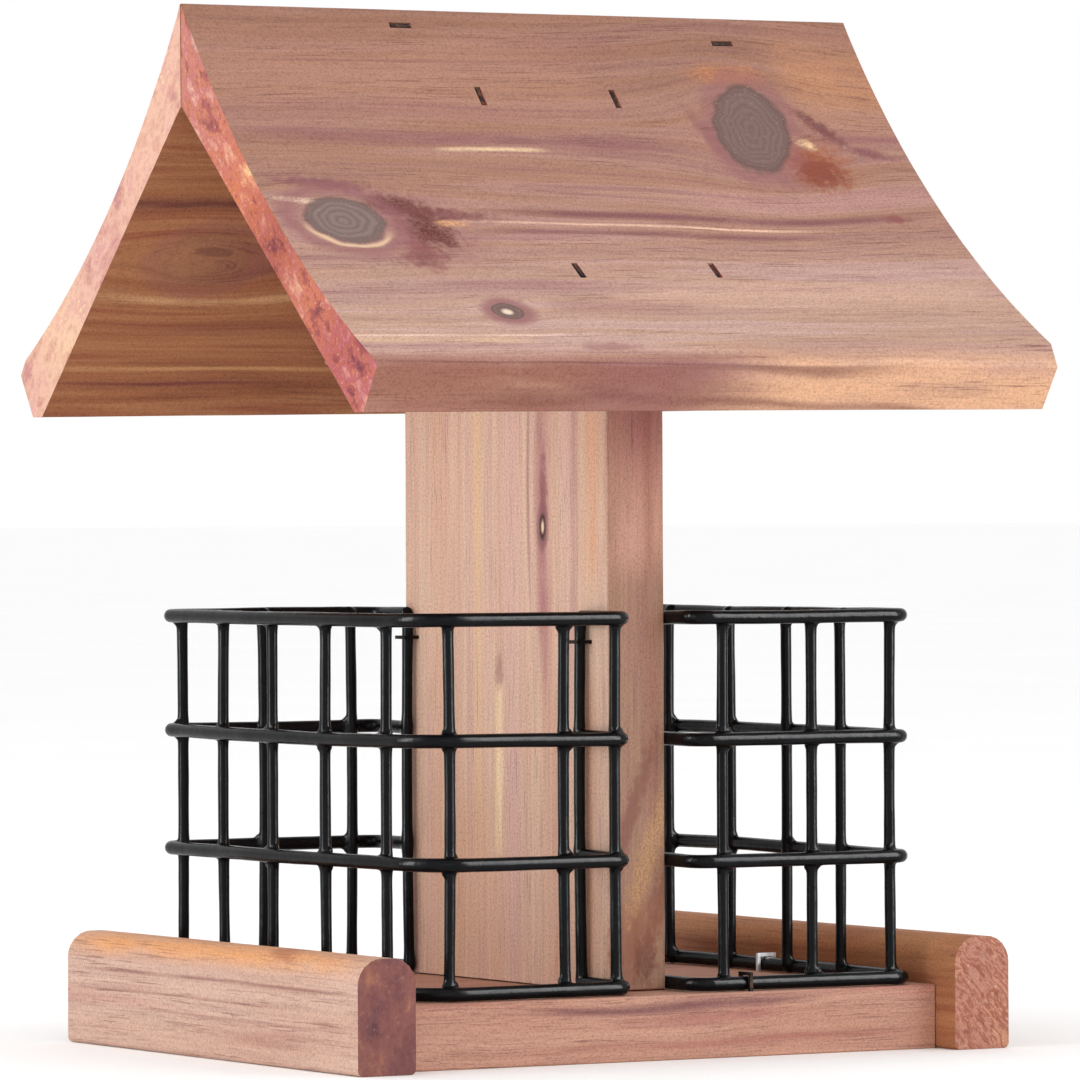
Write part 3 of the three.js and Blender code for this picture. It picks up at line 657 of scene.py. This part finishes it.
upright_wood = cedar(
    "upright_wood", ((0, 0, 1), (1, -1, 0), (1, 0, 0)), (-LUMBER / 2, 0, 0),
    shades((0.28, 209, 165, 146), (0.42, 220, 181, 158), (0.52, 224, 190, 166),
     (0.62, 219, 178, 163), (0.76, 231, 202, 170)),
    streaks=[
        (-19.0, 6.0, 20, 330, (228, 190, 152), 0.75),
        (-46.0, 16.0, 0, 330, (218, 172, 146), 0.6),
        (5.0, 13.0, 0, 330, (220, 178, 168), 0.6),
        (17.6, 1.6, 140, 330, (164, 108, 118), 0.6),
        (26.5, 7.5, 110, 330, (176, 116, 120), 0.75),
        (60.0, 9.0, 150, 260, (222, 166, 128), 0.7),
        (47.5, 4.0, 120, 330, (188, 138, 136), 0.6),
        (-4.0, 4.6, 60, 134, (246, 218, 178), 1.1),
        (36.0, 7.0, 0, 140, (196, 130, 114), 0.4),
        (56.0, 10.0, -20, 150, (206, 140, 104), 0.45),
        (84.0, 24.0, 158, 234, (196, 146, 126), 0.9),
        (-30.0, 44.0, -80, 112, (208, 154, 116), 0.35),
        (83.0, 22.0, 180, 360, (160, 100, 96), 0.8),
        (87.0, 4.0, 60, 300, (150, 92, 78), 0.5),
    ],
    patches=[
        (130.0, -4.0, 9.0, 4.0, 0.0, PLUM, 0.5),
        (190.0, 27.0, 22.0, 3.6, 0.0, (140, 76, 84), 0.75),
        (40.0, 80.0, 24.0, 14.0, 0.2, (142, 86, 60), 0.8),
        (33.0, 84.0, 12.0, 6.0, 0.0, (104, 54, 40), 0.7),
        (70.0, 86.0, 34.0, 6.0, 0.33, (184, 140, 100), 0.9),
        (84.0, 79.5, 36.0, 4.6, 0.33, (128, 78, 66), 0.75),
        (54.0, 91.0, 26.0, 5.0, 0.33, (132, 78, 58), 0.7),
    ],
    knots=[
        (180.5, 26.4, 5.2, 2.4, 0.0, {"core": rgb(236, 214, 176), "halo": 0.7, "halo_width": 0.9,
                                      "rings": 7.0, "dark": rgb(74, 34, 30)}),
    ],
    end=RED_END, seed=21.0, wander=4.0, dash=0.75, contrast=0.8,
    # Painted shade: the narrow front face is multiplied darker as the face turned from the light on the
    # left, over its own redder tone; the front strip of the right face gets it too.
    shade=(69.5, 92.0, [(0.0, (1, 1, 1, 1)), (0.04, (0.53, 0.43, 0.37, 1)), (1.0, (0.47, 0.38, 0.33, 1))]),
)
ALONG_Y = ((0, 1, 0), (0, 0, 1), (1, 0, 0)), (0, 0, 0)
rail_left_wood = cedar(
    "rail_left_wood", *ALONG_Y,
    shades((0.28, 182, 138, 122), (0.42, 197, 160, 142), (0.54, 202, 168, 151),
     (0.68, 195, 154, 139), (0.78, 206, 168, 139)),
    streaks=[
        (27.0, 1.2, -120, 110, (140, 92, 84), 0.7),
        (36.5, 7.0, -120, 130, (222, 158, 106), 0.85),
        (14.0, 1.0, -110, 60, (150, 100, 92), 0.55),
        (20.0, 0.9, -60, 110, (150, 100, 92), 0.5),
    ],
    patches=[(-45.0, 38.0, 18.0, 3.0, 0.15, (150, 78, 54), 0.5)],
    end=PLUM_END, seed=33.0, wander=2.5,
)
rail_right_wood = cedar(
    "rail_right_wood", *ALONG_Y,
    shades((0.28, 138, 84, 58), (0.42, 166, 108, 74), (0.54, 178, 122, 84),
     (0.68, 156, 98, 70), (0.78, 192, 138, 96)),
    streaks=[(36.0, 6.0, -130, 130, (196, 140, 98), 0.7)],
    end=BANDED_END, seed=41.0, wander=2.5,
)
base_wood = cedar(
    "base_wood", ((1, 0, 0), (0, 1, 1), (0, 0, 1)), (0, 0, LUMBER),
    shades((0.28, 180, 126, 112), (0.42, 198, 150, 130), (0.54, 204, 158, 138),
     (0.68, 194, 142, 126), (0.78, 212, 168, 138)),
    shade=(-116.0, -92.0, [(0.0, (0.85, 0.8, 0.76, 1)), (1.0, (0.88, 0.83, 0.79, 1))]),
    streaks=[
        (-96.5, 2.4, -70, 70, (118, 72, 74), 0.75),
        (-100.5, 4.0, -30, 50, (160, 100, 92), 0.7),
        (-110.0, 2.0, -20, 100, (170, 112, 96), 0.6),
        (-94.0, 2.0, 60, 130, (160, 104, 92), 0.6),
    ],
    knots=[(36.0, 20.0, 13.0, 10.0, 0.2, {"halo": 0.6})],
    end=RED_END, seed=52.0, wander=16.0,
)
cleat_wood = cedar(
    "cleat_wood", *ALONG_Y,
    shades((0.28, 146, 92, 76), (0.45, 172, 116, 92), (0.6, 182, 128, 100),
     (0.76, 196, 146, 112)),
    end=RED_END, seed=63.0,
)


def plastic():
    """Black plastic over steel wire, from a dip: satin, a little uneven."""
    g = Graph("dipped_plastic")
    where = g.node("ShaderNodeTexCoord").outputs["Object"]
    skin = g.noise(where, 2.0, 0.5, scale=260.0)
    cloud = g.noise(where, 3.0, 0.6, scale=70.0)
    scuffs = g.noise(where, 4.0, 0.7, scale=900.0)
    colour = g.ramp(cloud, shades((0.3, 8, 9, 11), (0.6, 12, 13, 16), (0.8, 20, 22, 27)))
    colour = g.mix(g.ease(scuffs, 0.68, 0.78, 0.0, 0.35), colour, rgb(74, 78, 88))
    roughness = g.ease(cloud, 0.25, 0.75, 0.2, 0.3)
    return g.finish(colour, roughness, g.bump(skin, 0.5 * MM, 0.25), Specular_IOR_Level=0.1)


def metal(name, dark, light, roughness, rust=0.0):
    """Staple and screw steel: drawn along its length, with tarnish."""
    g = Graph(name)
    where = g.node("ShaderNodeTexCoord").outputs["Object"]
    cloud = g.noise(where, 4.0, 0.65, scale=420.0)
    fine = g.noise(where, 2.0, 0.6, scale=3200.0)
    colour = g.ramp(cloud, [(0.3, dark), (0.7, light)])
    colour = g.mix(g.ease(cloud, 0.5, 0.62, 0.0, rust), colour, rgb(112, 62, 36))
    return g.finish(colour, g.ease(fine, 0.3, 0.7, roughness, roughness + 0.2),
                    g.bump(fine, 0.05 * MM, 0.6), Metallic=0.9)


plastic_skin = plastic()
dark_steel = metal("dark_steel", rgb(28, 22, 21), rgb(58, 46, 42), 0.5, rust=0.3)
bright_steel = metal("bright_steel", rgb(206, 208, 212), rgb(240, 242, 244), 0.34)
black_steel = metal("black_steel", rgb(16, 14, 14), rgb(34, 30, 29), 0.55, rust=0.15)
screw_steel = metal("screw_steel", rgb(140, 140, 142), rgb(200, 200, 204), 0.3, rust=0.15)


# ---------------------------------------------------------------- roof
def cove(side, cove_z):
    """The outer face of a slope from the ridge to the cove line."""
    start, end = np.array((RIDGE_Y, RIDGE_TOP)), np.array((side * COVE_Y, cove_z))
    length = np.linalg.norm(end - start)
    way = (end - start) / length
    out = np.array((-side * way[1], side * way[0]))
    radius = length ** 2 / (8 * COVE_SAG) + COVE_SAG / 2
    points = []
    for k in range(COVE_STEPS + 1):
        t = k / COVE_STEPS * length
        sag = math.sqrt(radius ** 2 - (t - length / 2) ** 2) - (radius - COVE_SAG)
        points.append(start + way * t - out * sag)
    return points


def roof_outline(side, cove_z, tip_z):
    seam = RIDGE_Y + side * GAP / 2
    face = cove(side, cove_z)
    inner = RIDGE_Y + (tip_z - RIDGE_UNDER) / (TIP_Z - RIDGE_UNDER) * (side * TIP_INNER_Y - RIDGE_Y)
    corners = [(seam, face[0][1], RIDGE_ROUND)] + [(*p, 0) for p in face[1:-1]]
    corners += [
        (*face[-1], EAVE_ROUND), (side * EAVE_Y, EAVE_Z, EAVE_ROUND),
        (side * TIP_Y, tip_z, EAVE_ROUND), (inner, tip_z, EAVE_ROUND),
        (seam, RIDGE_UNDER, UNDER_ROUND),
    ]
    return corners


KNOT_DEPTH, LIP_HEIGHT, LIP_AT, LIP_WIDTH = 0.32, 0.1, 1.15, 0.2


def knot_wear(knots, down, point):
    """Knots stand a hair below the planed face, with a lip round them."""
    def wear(x, y, z):
        w = (y - point[1]) * down[1] + (z - point[2]) * down[2]
        total = 0.0
        for l, across, a, b in knots:
            q = math.hypot((x - l) / a, (w - across) / b)
            if q < 1.6:
                total += KNOT_DEPTH * max(0.0, 1 - q * q)
                total -= LIP_HEIGHT * math.exp(-((q - LIP_AT) / LIP_WIDTH) ** 2)
        return total
    return wear


def crown_box(name, middle, long_way, inward, length, width, depth, rise):
    """A box with its long side along long_way that reaches depth into the wood and rise out of it."""
    long_way, inward = unit(long_way), unit(inward)
    wide = np.cross(long_way, inward)
    verts = []
    for a in (-1, 1):
        for b in (-1, 1):
            for c in (-rise, depth):
                verts.append(np.array(middle) + long_way * a * length / 2 + wide * b * width / 2
                             + inward * c)
    faces = [(0, 1, 3, 2), (4, 6, 7, 5), (0, 4, 5, 1), (2, 3, 7, 6), (0, 2, 6, 4), (1, 5, 7, 3)]
    return make_object(name, verts, faces, smooth=False)


STAPLE_WIRE = 1.2
SLOT_EASE, SLOT_DEPTH = 0.6, 4.0
SLOT_RISE = STAPLE_WIRE + 0.6


def crown_of(node):
    """Where a staple's crown is: its middle, its direction and the way its legs point."""
    co = np.array([v.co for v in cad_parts[node].data.vertices]) / MM
    centre = (co.min(0) + co.max(0)) / 2
    spread = co - co.mean(0)
    _values, ways = np.linalg.eigh(spread.T @ spread)
    legs = ways[:, 2]
    if legs[2] > 0:
        legs = -legs
    reach = (co - centre) @ legs
    crown = co[reach < reach.min() + STAPLE_WIRE * 0.5]
    middle = crown.mean(0)
    around = crown - middle
    span = np.linalg.eigh(around.T @ around)[1][:, 2]
    return middle, span, legs, np.ptp(around @ span)


def slots(nodes):
    made = []
    for node in nodes:
        middle, span, legs, length = crown_of(node)
        made.append(crown_box("slot_" + node, middle, span, legs, length + 2 * SLOT_EASE,
                              STAPLE_WIRE + 2 * SLOT_EASE, SLOT_RISE, SLOT_DEPTH))
    return made


FRONT_KNOTS = [(74.3, 52.5, 15.0, 22.0), (-107.6, 101.4, 15.5, 12.4), (-68.4, 153.2, 6.0, 5.2)]
roof_staples = [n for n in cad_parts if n.startswith("roof_staple")]
ridge_staples = [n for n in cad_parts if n.startswith("ridge_staple")]

front_board = board(
    "roof_board_front", roof_outline(-1, COVE_Z - COVE_DRIFT, FRONT_TIP_Z[0]),
    roof_outline(-1, COVE_Z + COVE_DRIFT, FRONT_TIP_Z[1]),
    roof_low[0], roof_high[0], along_x, step=3.0,
    wear=knot_wear(FRONT_KNOTS, FRONT_DOWN, RIDGE_POINT), seed=1.0,
)
rear_board = board(
    "roof_board_rear", roof_outline(1, COVE_Z, REAR_TIP_Z[0]), roof_outline(1, COVE_Z, REAR_TIP_Z[1]),
    roof_low[0], roof_high[0], along_x, step=4.0, seed=2.0,
)
cut(front_board, slots([n for n in roof_staples if "front" in n] + ridge_staples))
cut(rear_board, slots([n for n in roof_staples if "rear" in n]))
settle_board(front_board, roof_front_wood, "roof_front_board")
settle_board(rear_board, roof_rear_wood, "roof_rear_board")

# ---------------------------------------------------------------- rails, base, upright, cleats
RAIL_ROUND, RAIL_EASE = 9.0, 2.0
rail_side = [
    (0.0, 0.0, RAIL_EASE), (LUMBER, 0.0, RAIL_EASE),
    (LUMBER, rail_high[2], RAIL_ROUND), (0.0, rail_high[2], RAIL_ROUND),
]
rail_nodes = [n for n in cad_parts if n.startswith("rail_staple")]
for side, wood in (("left", rail_left_wood), ("right", rail_right_wood)):
    low, high = node_box("end_rail_" + side)
    outline = [(low[0] + u, v, radius) for u, v, radius in rail_side]
    rail = board("end_rail_board_" + side, outline, outline, low[1], high[1], along_y,
                 step=3.5, seed=3.0 if side == "left" else 4.0)
    cut(rail, slots([n for n in rail_nodes if side in n]))
    settle_board(rail, wood, "end_rail_" + side)

BASE_EASE = 0.8
base_outline = [
    (base_low[1], base_low[2], BASE_EASE), (base_high[1], base_low[2], BASE_EASE),
    (base_high[1], base_high[2], BASE_EASE), (base_low[1], base_high[2], BASE_EASE),
]
base = board("base_plank", base_outline, base_outline, base_low[0], base_high[0], along_x,
             step=4.0, seed=5.0)


def turned(name, profile, centre, segments=32):
    """A flat-ended solid of revolution about Z from (radius, height) pairs."""
    verts = [(centre[0] + radius * c, centre[1] + radius * s, z)
             for radius, z in profile for c, s in circle(segments)]
    return make_object(name, verts, capped(0, len(profile), segments))


SCREW_HEAD, SCREW_SHANK, HEAD_RIM = 4.2, 2.0, 1.4
BORE_FROM, BORE_TO = -2.0, 40.0
BORE_EASE, EASE_TOP = 0.25, 0.05  # how far the mouth of a bore opens out, and up to what height
bores = []
for node in ("upright_screw_front", "upright_screw_rear"):
    low, high = node_box(node)
    head, shank = SCREW_HEAD + GAP, SCREW_SHANK + GAP
    bores.append(turned("bore_" + node, [
        (head + BORE_EASE, BORE_FROM), (head + BORE_EASE, EASE_TOP), (head, HEAD_RIM),
        (shank, HEAD_RIM + head - shank), (shank, BORE_TO),
    ], (low + high) / 2))
cut(base, bores)
cut(base, slots(rail_nodes))
settle_board(base, base_wood, "base_board")


GABLE_CLEAR, GABLE_EASE = 1.4 * GAP, 0.7


def under_roof(y):
    """Height of the gable line that keeps clear of the roof boards."""
    side = -1 if y < RIDGE_Y else 1
    run = (y - RIDGE_Y) / (side * TIP_INNER_Y - RIDGE_Y)
    return RIDGE_UNDER + (TIP_Z - RIDGE_UNDER) * run - GABLE_CLEAR


def gable_board(name, low, high, seed, step):
    """A board between two corners of its box, with a gable top that follows the roof."""
    half, bottom = high[1], low[2]
    corners = [(-half, bottom), (half, bottom)]
    corners += [(y, under_roof(y)) for y in (half, RIDGE_Y, -half)]
    outline = [(*point, GABLE_EASE) for point in corners]
    return board(name, outline, outline, low[0], high[0], along_x, step=step, seed=seed)


post = gable_board("upright_plank", post_low, post_high, seed=6.0, step=3.0)
settle_board(post, upright_wood, "upright_board")

for side in ("left", "right"):
    low, high = node_box("roof_cleat_" + side)
    cleat = gable_board("gable_cleat_" + side, low, high, seed=7.0, step=6.0)
    settle_board(cleat, cleat_wood, "roof_cleat_" + side)

# ---------------------------------------------------------------- baskets
RING_RADIUS, BAR_RADIUS, RING_PITCH, RING_COUNT = 2.3, 1.85, 41.5, 4
CAGE_INNER = 13.7
RING_BASE = LUMBER + GAP + RING_RADIUS
# How far from the middle the returns stop at the front and rear, and each ring's lift, before turning.
BENDS = {
    "right": (56.0, 56.0, (0.0, 0.3, 0.2, 0.0)),
    "left": (64.0, 56.0, (0.0, 2.0, 1.4, 0.5)),
}
CAGE_BARS = [
    (25.4, -85.0), (60.2, -86.3), (92.2, -86.4), (96.0, -48.2), (96.8, -11.5), (96.6, 26.2),
    (93.0, 62.0), (82.2, 84.8), (37.6, 85.6), (17.4, 85.3),
]


def cage_plan(front_return, rear_return):
    """The bend of every ring in plan, as (x, y, bend radius)."""
    return [
        (CAGE_INNER, -front_return, 0), (CAGE_INNER, -87.0, 6), (97.0, -90.0, 6), (99.5, -25, 120),
        (97.5, 45, 120), (93.0, 88.0, 17), (CAGE_INNER, 88.0, 6), (CAGE_INNER, rear_return, 0),
    ]


def open_rounded(corners):
    """An open path of (x, y, radius) with its inner corners rounded."""
    points = []
    for i, (_x, _y, radius) in enumerate(corners):
        here, back, on, half = corner(corners, i)
        steps = max(3, math.ceil((math.pi - 2 * half) / WIRE_TURN))
        points += arc(here, back, on, half, radius, steps) if radius else [here]
    return np.array(points)


def even(points, step):
    """Points at even steps along a path."""
    lengths = np.concatenate([[0], np.cumsum(np.linalg.norm(np.diff(points, axis=0), axis=1))])
    count = max(2, round(lengths[-1] / step) + 1)
    at = np.linspace(0, lengths[-1], count)
    return np.stack([np.interp(at, lengths, points[:, k]) for k in range(points.shape[1])], 1)


class Soup:
    """Closed tubes and blobs gathered into one mesh, to be fused afterwards."""

    def __init__(self):
        self.verts, self.faces = [], []

    def tube(self, path, radii, sides=14):
        """A tube with flat ends along a path of 3-D points."""
        self.faces += capped(len(self.verts), len(path), sides)
        for here, radius, tangent in zip(path, radii, np.gradient(path, axis=0)):
            way = unit(tangent)
            aside = unit(np.cross(way, (0, 0, 1) if abs(way[2]) < 0.9 else (1, 0, 0)))
            above = np.cross(aside, way)
            self.verts += [here + radius * (aside * c + above * s) for c, s in circle(sides)]

    def blob(self, centre, axes):
        """An ellipsoid with these three half axes."""
        start = len(self.verts)
        rows, sides = 7, 12
        for r in range(1, rows):
            lat = math.pi * r / rows
            for c, s in circle(sides):
                local = (math.sin(lat) * c, math.sin(lat) * s, math.cos(lat))
                self.verts.append(centre + sum(np.array(axis) * part for axis, part in zip(axes, local)))
        self.verts.append(centre + np.array(axes[2]))
        self.verts.append(centre - np.array(axes[2]))
        top, bottom = len(self.verts) - 2, len(self.verts) - 1
        last = start + (rows - 2) * sides
        self.faces += [(a, d, c, b) for a, b, c, d in quads(start, rows - 1, sides)]
        for k in range(sides):
            j = (k + 1) % sides
            self.faces += [(top, start + k, start + j), (bottom, last + j, last + k)]


SHRINK = 0.12  # what smoothing takes off a wire
RING_WANDER, RING_SAG, SKIN_UNEVEN = 0.5, 0.6, 0.1
FILLET, FILLET_REACH = 0.35, 3.4  # how much a bar thickens near a ring, and over what length
WELD = (3.0, 2.4, 2.5)  # half axes of the plastic round a weld: beside the bar, outwards and up
KNOB_SHARE = 0.7  # how many corners of the welds have a knob of plastic
FINE_VOXEL, QUICK_VOXEL = 0.5, 0.75


def basket(side, seed):
    """One open-topped cage: four bent rings, upright bars inside them, and plastic gathered at each weld."""
    front_return, rear_return, lifts = BENDS[side]
    draw = random.Random(seed)
    soup = Soup()
    plan = even(open_rounded(cage_plan(front_return, rear_return)), 2.0)
    tangent = np.gradient(plan, axis=0)
    tangent /= np.linalg.norm(tangent, axis=1)[:, None]
    aside = np.stack([-tangent[:, 1], tangent[:, 0]], 1)
    rings = []
    for level, lift in enumerate(lifts):
        z = RING_BASE + level * RING_PITCH + lift
        wave = np.array([noise.noise(Vector((*p * 0.02, level * 7.0 + seed))) for p in plan])
        sway = np.array([noise.noise(Vector((*p * 0.017, level * 5.0 + seed + 3))) for p in plan])
        loose = 1.0 if level else 0.0
        flat = plan + aside * (wave * RING_WANDER)[:, None] * loose
        path = np.column_stack([flat, z + sway * RING_SAG * loose])
        radii = [RING_RADIUS + SHRINK + SKIN_UNEVEN * noise.noise(Vector((i * 0.11, seed, level)))
                 for i in range(len(path))]
        soup.tube(path, radii)
        rings.append(path)
    top = RING_BASE + (RING_COUNT - 1) * RING_PITCH + lifts[-1]
    ends = [(CAGE_INNER, rear_return), (CAGE_INNER, -front_return)]
    for x, y in CAGE_BARS + ends:
        feet = [path[np.argmin(np.hypot(path[:, 0] - x, path[:, 1] - y))] for path in rings]
        lean = draw.uniform(-0.5, 0.5), draw.uniform(-0.4, 0.4)
        heights = np.arange(RING_BASE - 0.4, top + 0.41, 1.5)
        path, radii = [], []
        for z in heights:
            bow = math.sin(math.pi * (z - RING_BASE) / (top - RING_BASE))
            path.append((x + lean[0] * bow, y + lean[1] * bow, z))
            near = min(abs(z - foot[2]) for foot in feet)
            radii.append(BAR_RADIUS + SHRINK + FILLET * math.exp(-((near / FILLET_REACH) ** 2))
                         + SKIN_UNEVEN * noise.noise(Vector((x * 0.1, y * 0.1 + seed, z * 0.09))))
        soup.tube(np.array(path), radii, sides=12)
        if (x, y) in ends:
            continue
        for level, foot in enumerate(feet):
            out = np.array((foot[0] - x, foot[1] - y, 0.0))
            out = unit(out) if np.linalg.norm(out) > 0.1 else np.array((1.0, 0, 0))
            beside = np.array((-out[1], out[0], 0.0))
            bar_at = np.array((x, y, foot[2]))
            soup.blob((bar_at + foot) / 2, (beside * WELD[0], out * WELD[1], np.array((0, 0, WELD[2]))))
            for up in (-1, 1):
                if (up < 0 and not level) or (up > 0 and level == RING_COUNT - 1):
                    continue
                for way in (-1, 1):
                    if draw.random() < 1 - KNOB_SHARE:
                        continue
                    size = draw.uniform(1.0, 1.5)
                    at = bar_at + beside * way * draw.uniform(1.3, 1.9) + out * 0.5
                    at[2] += up * draw.uniform(2.0, 2.9)
                    soup.blob(at, (beside * size, out * 1.4, np.array((0, 0, size * 1.15))))
    name = "wire_basket_" + side
    made = make_object(name, soup.verts, soup.faces)
    remesh = made.modifiers.new("fuse", "REMESH")
    remesh.mode = "VOXEL"
    remesh.voxel_size = FINE_VOXEL * MM
    remesh.use_smooth_shade = True
    smooth = made.modifiers.new("soften", "SMOOTH")
    smooth.factor = 0.5
    smooth.iterations = 3
    apply(made)
    co = np.zeros(len(made.data.vertices) * 3, np.float32)
    made.data.vertices.foreach_get("co", co)
    co = co.reshape(-1, 3)
    co[:, 2] = np.maximum(co[:, 2], (LUMBER + GAP * 0.5) * MM)
    if side == "left":
        co[:, :2] *= -1
    made.data.vertices.foreach_set("co", co.ravel())
    made.data.update()
    for polygon in made.data.polygons:
        polygon.use_smooth = True
    return made


for side, seed in (("right", 3), ("left", 8)):
    settle(basket(side, seed), plastic_skin, "basket_" + side)

# ---------------------------------------------------------------- staples and screws
WIRE_EASE = 0.28
for node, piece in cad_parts.items():
    if piece.hide_render:
        continue
    if "screw" in node:
        look = screw_steel
    elif node.startswith("rail_staple") or node.endswith("side"):
        look = bright_steel
    elif node.startswith("basket"):
        look = black_steel
    else:
        look = dark_steel
    paint(piece, look)
    bevel = piece.modifiers.new("ease", "BEVEL")
    bevel.width = WIRE_EASE * MM
    bevel.segments = 3

# ---------------------------------------------------------------- floor, light, camera
FLOOR_RADIUS, FLOOR_ROUGHNESS = 40.0, 0.9
FLOOR_GREYS = [(0.2, (0.96, 0.96, 0.96, 1)), (0.8, (0.98, 0.98, 0.98, 1))]
floor_mesh = bpy.data.meshes.new("floor")
work = bmesh.new()
bmesh.ops.create_circle(work, cap_ends=True, segments=96, radius=FLOOR_RADIUS)
work.to_mesh(floor_mesh)
work.free()
floor = in_scene("floor", floor_mesh)
g = Graph("pale_floor")
mottle = g.noise(g.node("ShaderNodeTexCoord").outputs["Object"], 2.0, 0.5, scale=3.0)
floor_mesh.materials.append(g.finish(g.ramp(mottle, FLOOR_GREYS), FLOOR_ROUGHNESS))

world = bpy.data.worlds.new("studio")
bpy.context.scene.world = world
world.use_nodes = True
backdrop = world.node_tree.nodes["Background"]
backdrop.inputs["Color"].default_value = (1.0, 1.0, 1.0, 1)
backdrop.inputs["Strength"].default_value = 1.0

# The camera's place in metres and its three directions.
CAMERA_AT = Vector((-1.4328, -2.4585, 0.1936))
RIGHT = Vector((0.86337, -0.50455, -0.0046))
UP = Vector((0.0067, 0.00235, 0.99998))
FORWARD = Vector((0.50452, 0.86338, -0.00541))
AIM = Vector((0, 0, 0.17))
SENSOR, LENS, SHIFT = 36.0, 272.43, (-0.0013, -0.0064)


def light(name, to_right, to_camera, height, size, watts, glints_only=False):
    """An area light placed from the camera's point of view, facing the feeder."""
    lamp = bpy.data.lights.new(name, "AREA")
    lamp.shape = "RECTANGLE"
    lamp.size, lamp.size_y = size
    lamp.energy = watts
    made = in_scene(name, lamp)
    made.location = AIM + RIGHT * to_right - FORWARD * to_camera + Vector((0, 0, height))
    made.rotation_mode = "QUATERNION"
    made.rotation_quaternion = (AIM - made.location).to_track_quat("-Z", "Y")
    made.visible_diffuse = not glints_only


light("key", -1.9, 1.1, 0.9, (1.2, 1.2), 3)
light("left_glint", -1.7, 0.7, 0.5, (0.7, 1.8), 90, glints_only=True)
light("right_glint", 1.7, 0.7, 0.6, (0.8, 1.8), 100, glints_only=True)
light("left", -1.5, 1.3, 0.45, (0.5, 1.8), 6.5)
light("right", 1.5, 0.9, 0.45, (0.5, 1.7), 3.5)
light("front", 0.5, 2.3, 0.6, (1.2, 0.9), 4)
light("top", -0.2, 0.2, 2.2, (1.6, 0.5), 3)

camera_data = bpy.data.cameras.new("camera")
camera_data.sensor_width = SENSOR
camera_data.lens = LENS
camera_data.shift_x, camera_data.shift_y = SHIFT
camera_data.clip_start, camera_data.clip_end = 0.05, 120.0
camera = in_scene("camera", camera_data)
axes = Matrix((RIGHT, UP, -FORWARD)).transposed().to_4x4()
camera.matrix_world = Matrix.Translation(CAMERA_AT) @ axes
bpy.context.scene.camera = camera
bpy.context.scene.view_settings.view_transform = "Standard"
